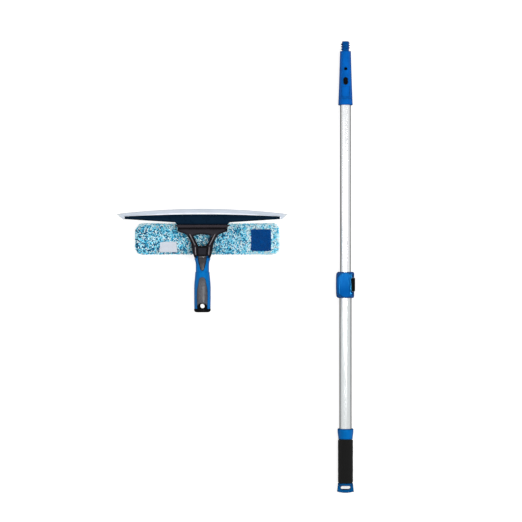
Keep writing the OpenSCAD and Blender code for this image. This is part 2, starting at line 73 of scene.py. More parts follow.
class Shader:
    """A material built from one principled shader, with short calls for the nodes around it."""

    def __init__(self, name, **sockets):
        self.material = bpy.data.materials.new(name)
        self.material.use_nodes = True
        self.tree = self.material.node_tree
        self.tree.nodes.clear()
        output = self.node("ShaderNodeOutputMaterial")
        self.surface = self.node("ShaderNodeBsdfPrincipled")
        for key, value in sockets.items():
            self.surface.inputs[key.replace("_", " ")].default_value = value
        self.tree.links.new(self.surface.outputs["BSDF"], output.inputs["Surface"])
        self.place = self.node("ShaderNodeTexCoord").outputs["Object"]

    def node(self, kind, inputs=(), **props):
        made = self.tree.nodes.new(kind)
        for key, value in props.items():
            setattr(made, key, value)
        for key, value in dict(inputs).items():
            if isinstance(value, bpy.types.NodeSocket):
                self.tree.links.new(value, made.inputs[key])
            else:
                made.inputs[key].default_value = value
        return made

    def feed(self, socket, source):
        self.tree.links.new(source, self.surface.inputs[socket])

    def stretched(self, stretch):
        if stretch == (1, 1, 1):
            return self.place
        return self.node("ShaderNodeMapping", {"Vector": self.place, "Scale": stretch}).outputs[0]

    def noise(self, size, detail=2.0, stretch=(1, 1, 1), rough=0.5):
        """Noise with features about size metres across."""
        return self.node("ShaderNodeTexNoise", {
            "Vector": self.stretched(stretch), "Scale": 1 / size, "Detail": detail, "Roughness": rough,
        }).outputs[0]

    def cells(self, size, feature="F1", stretch=(1, 1, 1)):
        return self.node("ShaderNodeTexVoronoi", {
            "Vector": self.stretched(stretch), "Scale": 1 / size}, feature=feature).outputs["Distance"]

    def along(self, axis):
        parts = self.node("ShaderNodeSeparateXYZ", {0: self.place})
        return parts.outputs[axis]

    def math(self, operation, a, b=0.0, clamp=False):
        return self.node("ShaderNodeMath", {0: a, 1: b}, operation=operation, use_clamp=clamp).outputs[0]

    def remap(self, value, low, high, to_low=0.0, to_high=1.0):
        return self.node("ShaderNodeMapRange", {
            "Value": value, "From Min": low, "From Max": high, "To Min": to_low, "To Max": to_high},
            interpolation_type="SMOOTHSTEP").outputs[0]

    def mix(self, share, a, b, blend="MIX"):
        made = self.node("ShaderNodeMix", {0: share, 6: a, 7: b}, data_type="RGBA", blend_type=blend)
        return made.outputs[2]

    def ramp(self, value, stops):
        made = self.node("ShaderNodeValToRGB", {"Fac": value})
        elements = made.color_ramp.elements
        elements[0].position, elements[0].color = stops[0]
        elements[1].position, elements[1].color = stops[-1]
        for position, colour in stops[1:-1]:
            elements.new(position).color = colour
        return made.outputs["Color"]

    def soft_edges(self, radius, flat_at=0.99, edge_at=0.86):
        """Normal with the edges rounded by radius, and a mask that is 1 along them."""
        bevel = self.node("ShaderNodeBevel", {"Radius": radius}, samples=4).outputs[0]
        flat = self.node("ShaderNodeNewGeometry").outputs["Normal"]
        likeness = self.node("ShaderNodeVectorMath", {0: bevel, 1: flat}, operation="DOT_PRODUCT")
        return bevel, self.remap(likeness.outputs["Value"], flat_at, edge_at)

    def bump(self, height, depth, normal=None, strength=1.0):
        inputs = {"Height": height, "Distance": depth, "Strength": strength}
        if normal is not None:
            inputs["Normal"] = normal
        return self.node("ShaderNodeBump", inputs).outputs[0]


def plastic(name, colour, rough=0.4, level=0.5, grain=0.5, depth=0.02, mottle=0.09, wear=0.25,
            scuffs=0.14, edge=0.4, gloss=(1, 1, 1), rim=(0.0, 0.0), turned=False, run=(1, 0.05, 1)):
    """Moulded plastic: spark-eroded grain, faint flow mottling, hairline scuffs along run, and worn edges.
    Gloss is the tint of its reflections. Rim gives a band of painted shade along each moulding's border, its
    width in mm and how dark it gets. A turned border also rounds over."""
    s = Shader(name, Specular_IOR_Level=level, Specular_Tint=(*gloss, 1.0))
    normal, edges = s.soft_edges(edge * MM)
    patches = s.noise(0.022, 4)
    fleck = s.noise(0.0007, 2)
    body = s.mix(s.remap(patches, 0.3, 0.7),
                 scaled_colour(colour, 1 - mottle), scaled_colour(colour, 1 + mottle))
    body = s.mix(s.remap(fleck, 0.52, 0.75, 0, 0.12), body, scaled_colour(colour, 1.6))
    hairs = s.remap(s.noise(0.0011, 3, run, 0.6), 0.62, 0.70)
    worn = s.math("MULTIPLY", edges, s.remap(s.noise(0.004, 3), 0.45, 0.65, 0.05, 1.0))
    # painted shade: the colour darkens towards black along each moulding's border
    if rim[0]:
        rounded, border = s.soft_edges(rim[0] * MM, 0.9995, 0.965)
        normal = rounded if turned else normal
        body = s.mix(s.math("MULTIPLY", border, rim[1]), body, scaled_colour(colour, 0.08))
    pale = (*[c * 0.8 + 0.03 for c in colour[:3]], 1.0)
    body = s.mix(s.math("MULTIPLY", worn, wear), body, pale)
    body = s.mix(s.math("MULTIPLY", hairs, scuffs * 0.6), body, pale)
    s.feed("Base Color", body)
    roughness = s.math("ADD", s.remap(patches, 0.25, 0.75, rough - 0.05, rough + 0.06),
                       s.math("MULTIPLY", s.math("MAXIMUM", hairs, worn), scuffs), clamp=True)
    s.feed("Roughness", roughness)
    relief = s.bump(s.noise(grain * MM, 3), depth * MM, normal)
    s.feed("Normal", s.bump(hairs, -0.006 * MM, relief))
    return s.material


def alloy(name, colour, rough, lines=0.006, smudge=0.08):
    """Drawn and anodised aluminium: fine lines along the tube, faint handling smudges."""
    s = Shader(name, Metallic=1.0, Anisotropic=0.35)
    normal, edges = s.soft_edges(0.25 * MM)
    drawn = s.noise(0.0006, 3, (1, 0.012, 1), 0.6)
    smudges = s.noise(0.035, 5, (1, 0.5, 1), 0.6)
    body = s.mix(s.remap(drawn, 0.3, 0.7, 0, 0.5), colour, scaled_colour(colour, 0.93))
    body = s.mix(s.remap(smudges, 0.5, 0.8, 0, 0.4), body, scaled_colour(colour, 0.9))
    s.feed("Base Color", s.mix(s.math("MULTIPLY", edges, 0.5), body, scaled_colour(colour, 1.1)))
    s.feed("Roughness", s.math("ADD", s.remap(smudges, 0.35, 0.75, rough, rough + smudge),
                               s.remap(drawn, 0.3, 0.7, -0.03, 0.04), clamp=True))
    s.feed("Normal", s.bump(drawn, lines * MM, normal))
    return s.material


def rubber(name, colour, pale):
    """Blade rubber: satin, slightly cloudy, with fine lines along it, and paler towards both ends."""
    s = Shader(name, Specular_IOR_Level=0.35, Sheen_Weight=0.12, Sheen_Roughness=0.4)
    normal, edges = s.soft_edges(0.3 * MM)
    cloud = s.noise(0.03, 4)
    lines = s.noise(0.0009, 3, (0.03, 1, 1))
    body = s.mix(s.remap(cloud, 0.3, 0.7), scaled_colour(colour, 0.95), scaled_colour(colour, 1.04))
    reach = s.math("ABSOLUTE", s.math("SUBTRACT", s.along(0), BLADE_X))
    body = s.mix(s.remap(reach, BLADE_HALF - 0.012, BLADE_HALF - 0.002), body, pale)
    s.feed("Base Color", s.mix(s.math("MULTIPLY", edges, 0.5), body, pale))
    s.feed("Roughness", s.remap(lines, 0.3, 0.7, 0.42, 0.56))
    s.feed("Normal", s.bump(lines, 0.012 * MM, s.bump(s.noise(0.0006, 2), 0.006 * MM, normal)))
    return s.material


def foam(name, colour):
    """Closed-cell foam: matt, pitted with fine cells, scuffed in patches."""
    s = Shader(name, Specular_IOR_Level=0.12, Sheen_Weight=0.04, Sheen_Roughness=0.6)
    pores = s.cells(0.0009)
    big = s.cells(0.0024)
    patches = s.noise(0.03, 4, (1, 0.5, 1))
    body = s.mix(s.remap(patches, 0.3, 0.7), scaled_colour(colour, 0.82), scaled_colour(colour, 1.25))
    # painted shade: the pits of the fine and the large cells are darkened
    body = s.mix(s.remap(pores, 0.1, 0.5, 0.55, 0.0), body, scaled_colour(colour, 0.25))
    s.feed("Base Color", s.mix(s.remap(big, 0.0, 0.18, 0.5, 0.0), body, scaled_colour(colour, 0.2)))
    s.feed("Roughness", s.remap(patches, 0.3, 0.7, 0.8, 0.95))
    s.feed("Normal", s.bump(big, 0.10 * MM, s.bump(pores, 0.16 * MM)))
    return s.material


def pile(name, stops, size=0.00045):
    """Twisted microfibre yarn: each strand has its own colour out of stops, and a fuzzy matt surface."""
    s = Shader(name, Roughness=0.92, Specular_IOR_Level=0.2, Sheen_Weight=0.15, Sheen_Roughness=0.5)
    own = s.node("ShaderNodeAttribute", attribute_name="strand").outputs["Fac"]
    drift = s.remap(s.noise(0.035, 3), 0.3, 0.7, -0.07, 0.07)
    colour = s.ramp(s.math("ADD", own, drift, clamp=True), stops)
    fibres = s.noise(size, 3, (1, 1, 1), 0.7)
    colour = s.mix(s.remap(fibres, 0.35, 0.65, 0.2, 0.0), colour, (0.02, 0.16, 0.24, 1), "MULTIPLY")
    s.feed("Base Color", colour)
    s.feed("Normal", s.bump(fibres, 0.35 * MM))
    return s.material


def weave(name, colour, thread=0.0006, dark=0.82):
    """Plain woven tape, with warp and weft, in a faintly soiled pale cloth."""
    s = Shader(name, Roughness=0.85, Specular_IOR_Level=0.25, Sheen_Weight=0.2)
    waves = [s.node("ShaderNodeTexWave", {
        "Vector": s.place, "Scale": 1 / thread / 3.2, "Distortion": 0.6, "Detail": 1.0},
        bands_direction=axis).outputs["Fac"] for axis in "XY"]
    cloth = s.math("MAXIMUM", *waves)
    body = s.mix(s.remap(cloth, 0.2, 0.8), scaled_colour(colour, dark), colour)
    soiled = s.remap(s.noise(0.008, 4), 0.45, 0.75, 0, 0.3)
    s.feed("Base Color", s.mix(soiled, body, scaled_colour(colour, 0.86)))
    s.feed("Normal", s.bump(cloth, 0.08 * MM, s.bump(s.noise(0.004, 2), 0.15 * MM)))
    return s.material


def scourer(name, colour):
    """Non-woven scouring web: tangled dark and bright fibres, matt."""
    s = Shader(name, Specular_IOR_Level=0.08)
    tangle = s.noise(0.0011, 5, (1, 1, 1), 0.75)
    fibres = s.cells(0.0016, "DISTANCE_TO_EDGE")
    broad = s.noise(0.009, 3)
    body = s.mix(s.remap(tangle, 0.3, 0.7), scaled_colour(colour, 0.5), scaled_colour(colour, 1.35))
    body = s.mix(s.remap(broad, 0.35, 0.7, 0, 0.55), body, scaled_colour(colour, 1.5))
    s.feed("Base Color", s.mix(s.remap(fibres, 0.0, 0.09, 0.45, 0.0), body, scaled_colour(colour, 2.2)))
    s.feed("Roughness", s.remap(tangle, 0.3, 0.7, 0.75, 0.95))
    s.feed("Normal", s.bump(tangle, 0.5 * MM, s.bump(fibres, -0.2 * MM)))
    return s.material


BLADE_LOW, BLADE_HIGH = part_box("rubber_blade")
BLADE_X = (BLADE_LOW[0] + BLADE_HIGH[0]) / 2
BLADE_HALF = (BLADE_HIGH[0] - BLADE_LOW[0]) / 2
POLE_X = (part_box("inner_tube")[0][0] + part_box("inner_tube")[1][0]) / 2
HEAD_X = (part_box("handle_core")[0][0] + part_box("handle_core")[1][0]) / 2
HEAD_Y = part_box("end_ring")[0][1]
HEAD_Z = (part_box("end_ring")[0][2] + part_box("end_ring")[1][2]) / 2

AZURE = (0.06, 0.5, 1.0)  # tint of the blue plastics' reflections
LENGTHWAYS = (0.05, 1, 1)  # scuffs that run along X, on the parts that lie across the head
# each rim pair below sets the painted shade along that moulding's border
black = plastic("moulded_black", srgb(14, 13, 15), 0.5, 0.08, wear=0.3, rim=(1.2, 0.6))
black_gloss = plastic("gloss_black", srgb(3, 3, 5), 0.24, 0.05, depth=0.008, wear=0.1)
shell_blue = plastic("overmould_blue", srgb(0, 94, 164), 0.4, 0.45, depth=0.03, gloss=AZURE, rim=(2.0, 0.5))
grip_grey = plastic("grip_grey", srgb(54, 55, 63), 0.3, 0.45, grain=0.35, depth=0.003, scuffs=0.04,
                    rim=(2.5, 0.8))
thumb_grey = plastic("thumb_grey", srgb(47, 46, 51), 0.22, 0.25, grain=0.35, depth=0.02, rim=(2.0, 0.8))
yoke_black = plastic("yoke_black", srgb(36, 34, 40), 0.34, 0.05, depth=0.015, run=(1, 0.3, 1),
                     rim=(6.5, 0.98), turned=True)
clip_black = plastic("clip_black", srgb(44, 40, 45), 0.34, 0.06, depth=0.015, run=LENGTHWAYS,
                     rim=(2.6, 0.97), turned=True)
button_black = plastic("button_black", srgb(24, 24, 31), 0.34, 0.07, run=(0.1, 1, 1),
                       rim=(4.0, 0.95), turned=True)
# pale grey for the beads on the yoke's ribs, a painted highlight
rib_grey = plastic("rib_grey", srgb(122, 117, 120), 0.26, 0.5, depth=0.01)
navy = plastic("channel_navy", srgb(10, 23, 38), 0.3, 0.12, depth=0.015, run=LENGTHWAYS, gloss=AZURE,
               rim=(5.0, 0.9))
white = plastic("spine_white", srgb(226, 230, 238), 0.38, 0.3, wear=0.1, run=LENGTHWAYS)
cone_blue = plastic("cone_blue", srgb(0, 78, 160), 0.3, 0.45, depth=0.012, gloss=AZURE, rim=(2.4, 0.6))
tip_blue = plastic("tip_blue", srgb(0, 64, 134), 0.3, 0.45, depth=0.012, gloss=AZURE, rim=(0.7, 0.8))
clamp_blue = plastic("clamp_blue", srgb(0, 76, 150), 0.09, 0.4, depth=0.0015, gloss=AZURE, rim=(5.5, 0.95))
collar_blue = plastic("collar_blue", srgb(0, 86, 154), 0.34, 0.45, depth=0.02, gloss=AZURE, rim=(2.6, 0.85))
cap_blue = plastic("cap_blue", srgb(0, 60, 112), 0.36, 0.45, depth=0.02, gloss=AZURE, rim=(2.6, 0.85))
lever_black = plastic("lever_black", srgb(3, 5, 4), 0.34, 0.03, depth=0.01)
upper_alloy = alloy("upper_alloy", srgb(232, 234, 236), 0.12, smudge=0.05)
lower_alloy = alloy("lower_alloy", srgb(215, 219, 220), 0.14, smudge=0.06)
steel = alloy("zinc_steel", srgb(200, 201, 205), 0.3, lines=0.002)
blade_rubber = rubber("blade_rubber", srgb(180, 188, 199), srgb(192, 198, 200))
foam_black = foam("foam_black", srgb(14, 14, 14))
yarn = pile("microfibre_yarn", [
    (0.0, srgb(0, 80, 122)), (0.1, srgb(6, 114, 160)), (0.22, srgb(26, 158, 206)),
    (0.38, srgb(92, 212, 244)), (0.54, srgb(138, 232, 254)), (0.68, srgb(178, 242, 255)),
    (0.82, srgb(206, 246, 255)), (1.0, srgb(234, 251, 255))])
backing = pile("microfibre_backing", [(0.0, srgb(30, 100, 135)), (1.0, srgb(70, 150, 185))], 0.0009)
pad_web = scourer("scouring_web", srgb(0, 58, 116))
pad_fibre = plastic("scouring_fibre", srgb(4, 66, 136), 0.5, 0.15)
label_cloth = weave("label_cloth", srgb(190, 196, 206))
stitch_white = weave("stitch_thread", srgb(226, 230, 236), 0.0003)
stitch_blue = weave("stitch_thread_blue", srgb(10, 60, 120), 0.0003)

FINISH = {
    "handle_core": black, "handle_shell": shell_blue, "grip_panels": grip_grey, "thumb_pads": thumb_grey,
    "end_ring": black_gloss, "yoke": yoke_black, "release_button": button_black, "blade_clip": clip_black,
    "bow_channel": navy, "blade_spine": white, "rubber_blade": blade_rubber, "scrubber_bar": black,
    "stem_screws": steel, "outer_tube": lower_alloy, "grip_collar": collar_blue, "end_cap": cap_blue,
    "end_cap_pin": steel, "clamp_body": clamp_blue, "clamp_rivet": steel, "clamp_lever": lever_black,
    "lever_pin": steel, "clamp_shoe": white, "glide_bush": white, "inner_tube": upper_alloy,
    "locking_cone": cone_blue, "threaded_tip": tip_blue, "cone_rivet": steel, "lock_button": black_gloss,
}
for node_name, finish in FINISH.items():
    for material_slot in frame["nodes"][node_name].material_slots:
        material_slot.material = finish


# ---- Mesh helpers. Every piece is made in the frame's own coordinates, in metres, with its origin at zero.


def piece(name, points, faces, material, body="head", slot=None, strand=None):
    """An object of faces with one number of corners, riding on body. Strand is a value per point."""
    mesh = bpy.data.meshes.new(name)
    faces = np.asarray(faces, np.int32)
    mesh.vertices.add(len(points))
    mesh.vertices.foreach_set("co", np.asarray(points, np.float32).ravel())
    mesh.loops.add(faces.size)
    mesh.loops.foreach_set("vertex_index", faces.ravel())
    mesh.polygons.add(len(faces))
    mesh.polygons.foreach_set("loop_start", np.arange(0, faces.size, faces.shape[1], dtype=np.int32))
    mesh.update(calc_edges=True)
    mesh.polygons.foreach_set("use_smooth", np.ones(len(faces), bool))
    if strand is not None:
        own = mesh.attributes.new("strand", "FLOAT", "POINT")
        own.data.foreach_set("value", np.asarray(strand, np.float32))
    mesh.materials.append(material)
    made = bpy.data.objects.new(name, mesh)
    scene.collection.objects.link(made)
    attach(made, body)
    return made


def unit(v):
    return v / np.maximum(np.linalg.norm(v, axis=-1, keepdims=True), 1e-12)


def tube_faces(count, rings, sides):
    """Quads of count closed tubes, each of rings by sides points, with flat ends. Sides is even."""
    quads = []
    for ring in range(rings - 1):
        for side in range(sides):
            a, b = ring * sides + side, ring * sides + (side + 1) % sides
            quads.append((a, b, b + sides, a + sides))
    last = (rings - 1) * sides
    for i in range(1, sides - 1, 2):
        quads += [(0, i + 2, i + 1, i), (last, last + i, last + i + 1, last + i + 2)]
    quads = np.array(quads)
    return (quads[None] + (np.arange(count) * rings * sides)[:, None, None]).reshape(-1, 4)


def tubes(centres, radii, across, sides=6):
    """Points and faces of tubes along centres (count, rings, 3), with radii (count, rings).
    Across (count, rings, 3) is never parallel to a tube, and fixes where its sides start."""
    count, rings, _ = centres.shape
    forward = unit(np.gradient(centres, axis=1))
    up = unit(np.cross(forward, across))
    side = np.cross(forward, up)
    angle = 2 * np.pi * np.arange(sides) / sides
    offset = (np.cos(angle)[:, None] * up[:, :, None, :] + np.sin(angle)[:, None] * side[:, :, None, :])
    points = centres[:, :, None, :] + radii[:, :, None, None] * offset
    return points.reshape(-1, 3), tube_faces(count, rings, sides)


def one_tube(path, radius, sides=8):
    """A tube along one path, with its ends drawn in."""
    path = np.asarray(path, float)[None]
    radii = np.full(path.shape[:2], radius)
    radii[:, [0, -1]] *= 0.6
    across = np.broadcast_to(np.array([0.13, 0.21, 0.97]), path.shape)
    return tubes(path, radii, across, sides)


def joined(parts):
    """Several (points, faces) as one."""
    points, faces, start = [], [], 0
    for p, f in parts:
        points.append(p)
        faces.append(f + start)
        start += len(p)
    return np.concatenate(points), np.concatenate(faces)


def tree_of(*names):
    """A search tree over the CAD nodes' own surfaces."""
    points, faces = [], []
    for name in names:
        mesh = frame["nodes"][name].data
        start = len(points)
        points += [v.co.copy() for v in mesh.vertices]
        faces += [[start + i for i in p.vertices] for p in mesh.polygons]
    return BVHTree.FromPolygons(points, faces)


def rounded_grid(half_x, half_y, radius, nx, ny):
    """A grid of (x, y) that fills a rectangle with round corners."""
    x, y = np.meshgrid(np.linspace(-half_x, half_x, nx), np.linspace(-half_y, half_y, ny), indexing="ij")
    dx, dy = np.abs(x) - (half_x - radius), np.abs(y) - (half_y - radius)
    corner = (dx > 0) & (dy > 0)
    length = np.hypot(dx, dy)
    shrink = np.where(corner, np.maximum(dx, dy) / np.maximum(length, 1e-9), 1)
    x = np.where(corner, np.sign(x) * (half_x - radius + dx * shrink), x)
    y = np.where(corner, np.sign(y) * (half_y - radius + dy * shrink), y)
    return x, y


def slab(x, y, top, bottom):
    """Points and quads of a closed slab over a grid."""
    nx, ny = x.shape
    layers = [np.stack([x, y, z], -1).reshape(-1, 3) for z in (top, bottom)]
    grid = np.arange(nx * ny).reshape(nx, ny)
    a, b, c, d = grid[:-1, :-1], grid[1:, :-1], grid[1:, 1:], grid[:-1, 1:]
    up = np.stack([a, b, c, d], -1).reshape(-1, 4)
    down = up[:, ::-1] + nx * ny
    rim = np.concatenate([grid[:-1, 0], grid[-1, :-1], grid[:0:-1, -1], grid[0, :0:-1]])
    after = np.roll(rim, -1)
    wall = np.stack([rim, rim + nx * ny, after + nx * ny, after], -1)
    return np.concatenate(layers), np.concatenate([up, down, wall])


def fractal(x, y, size, seed=0.0, octaves=3):
    """Smooth noise from -1 to 1 at each point of a grid."""
    flat = [noise.fractal(Vector((a / size, b / size, seed)), 1.0, 2.0, octaves)
            for a, b in zip(np.ravel(x), np.ravel(y))]
    return np.reshape(flat, np.shape(x))


# ---- Microfibre sleeve: a padded backing, and the yarn loops that cover it

rng = np.random.default_rng(7)
sleeve_low, sleeve_high = (np.array(v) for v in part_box("scrubber_sleeve"))
pad_low, pad_high = (np.array(v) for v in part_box("scouring_pad"))
label_low, label_high = (np.array(v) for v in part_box("care_label"))
hub_top = sleeve_low[1] + 23.6 * MM  # where the hollow for the yoke's neck ends
PILE = 4.4 * MM  # from the padded backing out to the sleeve's CAD box


def padded_block(low, high, radius, voxel):
    """A block with round edges, remeshed evenly."""
    grid = bmesh.new()
    bmesh.ops.create_cube(grid, size=1.0)
    for v in grid.verts:
        v.co = Vector((low[i] + (v.co[i] + 0.5) * (high[i] - low[i]) for i in range(3)))
    bmesh.ops.bevel(grid, geom=list(grid.edges), offset=radius, segments=5, profile=0.5, affect="EDGES")
    mesh = bpy.data.meshes.new("sleeve_backing")
    grid.to_mesh(mesh)
    grid.free()
    made = bpy.data.objects.new("sleeve_backing", mesh)
    scene.collection.objects.link(made)
    remesh = made.modifiers.new("remesh", "REMESH")
    remesh.mode, remesh.voxel_size = "VOXEL", voxel
    even = bpy.data.meshes.new_from_object(made.evaluated_get(bpy.context.evaluated_depsgraph_get()))
    made.modifiers.clear()
    made.data = even
    return made


def puff(made, pressure, cap):
    """Swells a closed mesh with cloth pressure, moving no point further than cap."""
    cloth = made.modifiers.new("cloth", "CLOTH")
    cloth.settings.use_pressure = True
    cloth.settings.uniform_pressure_force = pressure
    cloth.settings.effector_weights.gravity = 0
    before = np.array([v.co for v in made.data.vertices])
    for step in range(1, 21):
        scene.frame_set(step)
    swollen = made.evaluated_get(bpy.context.evaluated_depsgraph_get()).to_mesh()
    after = np.array([v.co for v in swollen.vertices])
    made.modifiers.clear()
    scene.frame_set(1)
    move = after - before
    length = np.linalg.norm(move, axis=1, keepdims=True)
    move *= np.minimum(1, cap / np.maximum(length, 1e-9))
    made.data.vertices.foreach_set("co", (before + move).astype(np.float32).ravel())
    made.data.update()


sleeve = padded_block(sleeve_low + PILE, sleeve_high - PILE, 7.5 * MM, 4.5 * MM)
puff(sleeve, 4.0, 1.2 * MM)
points = np.array([v.co for v in sleeve.data.vertices])
# the left end has full, round corners
for side, corner in ((1, 19 * MM), (-1, 13 * MM)):
    cx = sleeve_low[0] + corner
    cy = sleeve_high[1] - corner if side > 0 else sleeve_low[1] + corner
    dx, dy = cx - points[:, 0], (points[:, 1] - cy) * side
    out = (dx > 0) & (dy > 0)
    shrink = np.where(out, np.maximum(dx, dy) / np.maximum(np.hypot(dx, dy), 1e-9), 1)
    points[:, 0] = np.where(out, cx - dx * shrink, points[:, 0])
    points[:, 1] = np.where(out, cy + dy * shrink * side, points[:, 1])
# the yoke's neck sits in a hollow of the pile, and the sleeve sags a little between its ends and the bar
near_hub = np.clip((25 * MM - np.abs(points[:, 0] - HEAD_X)) / (4 * MM), 0, 1)
near_hub *= np.clip((hub_top + 2 * MM - points[:, 1]) / (4 * MM), 0, 1)
limit = np.where(near_hub > 0, 19.2 * MM, 1.0)
points[:, 2] = np.where(points[:, 2] > limit, points[:, 2] + (limit - points[:, 2]) * near_hub, points[:, 2])
sag = fractal(points[:, 0], points[:, 1], 0.045, 3.0) * 0.9 * MM
points[:, 2] += np.where((points[:, 2] > 15 * MM) & (near_hub == 0), sag, 0)
sleeve.data.vertices.foreach_set("co", points.astype(np.float32).ravel())
sleeve.data.attributes.new("strand", "FLOAT", "POINT").data.foreach_set(
    "value", rng.random(len(points)).astype(np.float32))
sleeve.data.materials.append(backing)
sleeve.data.polygons.foreach_set("use_smooth", np.ones(len(sleeve.data.polygons), bool))
sleeve.data.update()
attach(sleeve, "head")
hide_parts("scrubber_sleeve")


def spread_roots(mesh, spacing, tries):
    """Random points on a mesh, no two nearer than spacing, with the surface's smooth normals."""
    mesh.calc_loop_triangles()
    corners = np.array([t.vertices for t in mesh.loop_triangles])
    where = np.array([v.co for v in mesh.vertices])
    normals = np.array([v.normal for v in mesh.vertices])
    a, b, c = (where[corners[:, i]] for i in range(3))
    area = np.linalg.norm(np.cross(b - a, c - a), axis=1)
    chosen = rng.choice(len(corners), tries, p=area / area.sum())
    u, v = rng.random((2, tries, 1))
    flip = u + v > 1
    u, v = np.where(flip, 1 - u, u), np.where(flip, 1 - v, v)
    spots = a[chosen] * (1 - u - v) + b[chosen] * u + c[chosen] * v
    facing = [normals[corners[chosen, i]] for i in range(3)]
    facing = unit(facing[0] * (1 - u - v) + facing[1] * u + facing[2] * v)
    kept, cellmap = [], {}
    cell = np.floor(spots / spacing).astype(int)
    for i, key in enumerate(map(tuple, cell)):
        near = (j for dx in (-1, 0, 1) for dy in (-1, 0, 1) for dz in (-1, 0, 1)
                for j in cellmap.get((key[0] + dx, key[1] + dy, key[2] + dz), ()))
        if all(np.dot(spots[i] - spots[j], spots[i] - spots[j]) >= spacing ** 2 for j in near):
            cellmap.setdefault(key, []).append(i)
            kept.append(i)
    return spots[kept], facing[kept]


def inside(spots, low, high, margin):
    """Whether each spot lies over a box, seen from above, with a margin round it."""
    return np.all((spots[:, :2] > low[:2] - margin) & (spots[:, :2] < high[:2] + margin), axis=1)


def loops(roots, normals, length, rise, radius, rings=5):
    """Yarn loops that leave the cloth, arch over and go back into it, each with its length and rise."""
    count = len(roots)
    random = unit(rng.normal(size=(count, 3)))
    along = unit(np.cross(normals, random))
    across = np.cross(normals, along)
    s = np.linspace(0, 1, rings)[None, :, None]
    bend = rng.uniform(-1, 1, (count, 1, 1)) * length[:, None, None] * 0.22
    lean = rng.uniform(-0.25, 0.25, (count, 1, 1))
    arch = np.sin(np.pi * np.clip(s + lean * s * (1 - s), 0, 1)) ** 0.75
    centres = (roots[:, None] + along[:, None] * (s - 0.5) * length[:, None, None]
               + normals[:, None] * arch * rise[:, None, None]
               + across[:, None] * bend * np.sin(np.pi * s))
    radii = radius[:, None] * (0.45 + 0.55 * np.sin(np.pi * np.linspace(0.12, 0.88, rings)))[None]
    return centres, radii, np.broadcast_to(across[:, None], centres.shape)


roots, normals = spread_roots(sleeve.data, 2.0 * MM, 46000)
top = normals[:, 2] > 0.45
bottom = normals[:, 2] < -0.45
right_end = roots[:, 0] > sleeve_high[0] - PILE - 3 * MM
count = len(roots)
length = rng.uniform(3.8, 6.2, count) * MM
rise = rng.uniform(2.6, 4.4, count) * MM
radius = rng.uniform(0.75, 1.1, count) * MM
covered = top & (inside(roots, pad_low, pad_high, -1.5 * MM)
                 | inside(roots, label_low, label_high, -1.5 * MM))
rise = np.where(covered, 1.6 * MM, rise)
rise = np.where(bottom, np.minimum(rise, 3.1 * MM), rise)
rise = np.where(right_end, rise * rng.uniform(1.1, 1.9, count), rise)
at_hub = (np.abs(roots[:, 0] - HEAD_X) < 25 * MM) & (roots[:, 1] < hub_top + 1.5 * MM)
rise = np.where(at_hub & top, np.minimum(rise, 2.2 * MM), rise)
at_stem = (np.abs(roots[:, 0] - HEAD_X) < 14 * MM) & (roots[:, 1] < sleeve_low[1] + 9 * MM) & ~bottom
strand = np.clip(rng.normal(0.52, 0.40, count), 0, 1)
# the pile is palest where it frays: along the top edge, at the right end and beside the scouring square
fray = (np.clip((roots[:, 1] - sleeve_high[1] + 13 * MM) / (8 * MM), 0, 1)
        + np.clip((roots[:, 0] - sleeve_high[0] + 16 * MM) / (10 * MM), 0, 1)
        + inside(roots, pad_low - np.array([4, 0, 0]) * MM, pad_high, 4 * MM))
strand = np.clip(strand + 0.4 * np.clip(fray, 0, 1), 0, 1)
# under the yoke's window the pile is painted paler and more mixed, as painted light against the shade the
# yoke casts on it
window = (np.abs(roots[:, 0] - HEAD_X) < 24 * MM) & (np.abs(roots[:, 1] - HEAD_Y - 151 * MM) < 15 * MM)
strand = np.where(window & top, np.clip((strand - 0.5) * 1.6 + 0.58, 0, 1), strand)
beside_pad = inside(roots, pad_low, pad_high, 3.2 * MM) & (roots[:, 0] < pad_low[0]) & top
rise = np.where(beside_pad, 5.2 * MM, rise)
# painted shade: the pile under the scouring square and the label is darkened
strand = np.where(covered, strand * 0.4, strand)
for name, chosen in (("pile_top", top), ("pile_bottom", bottom), ("pile_edges", ~top & ~bottom)):
    pick = chosen & ~at_stem
    centres, radii, across = loops(roots[pick], normals[pick], length[pick], rise[pick], radius[pick])
    tube_points, tube_quads = tubes(centres, radii, across)
    tube_points[:, 2] = np.maximum(tube_points[:, 2], 0.15 * MM)
    piece(name, tube_points, tube_quads, yarn, slot="microfibre",
          strand=np.repeat(strand[pick], centres.shape[1] * 6))

# ---- Scouring pad: a crowned square of web with a sewn edge and loose fibres

SEAM = 2.6 * MM  # from the pad's edge to its sewn line
half = (pad_high - pad_low) / 2
middle = (pad_high + pad_low) / 2
pad_x, pad_y = rounded_grid(half[0], half[1], 4 * MM, 44, 46)
edge = np.minimum(half[0] - np.abs(pad_x), half[1] - np.abs(pad_y))
crown = np.clip(edge / (1.6 * MM), 0, 1) ** 0.5
seam = np.exp(-((edge - SEAM) / (0.7 * MM)) ** 2)
rough_top = (fractal(pad_x, pad_y, 0.0022, 9.0, 4) * 0.35 * MM
             + fractal(pad_x, pad_y, 0.012, 5.0) * 0.25 * MM)
thickness = pad_high[2] - pad_low[2]
pad_top = pad_low[2] + 0.8 * MM + (thickness - 1.2 * MM) * crown - 0.45 * MM * seam + rough_top * crown
wobble = fractal(pad_x, pad_y, 0.006, 2.0) * 0.25 * MM
pad = piece("scouring_square", *slab(
    middle[0] + pad_x * 0.985 + wobble, middle[1] + pad_y * 0.985 + wobble, pad_top,
    np.full_like(pad_x, pad_low[2] - 0.6 * MM)), pad_web, slot="scourer")
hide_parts("scouring_pad")


def pad_height(x, y):
    i = int(np.argmin((pad_x + middle[0] - x) ** 2 + (pad_y + middle[1] - y) ** 2))
    return float(pad_top.flat[i])


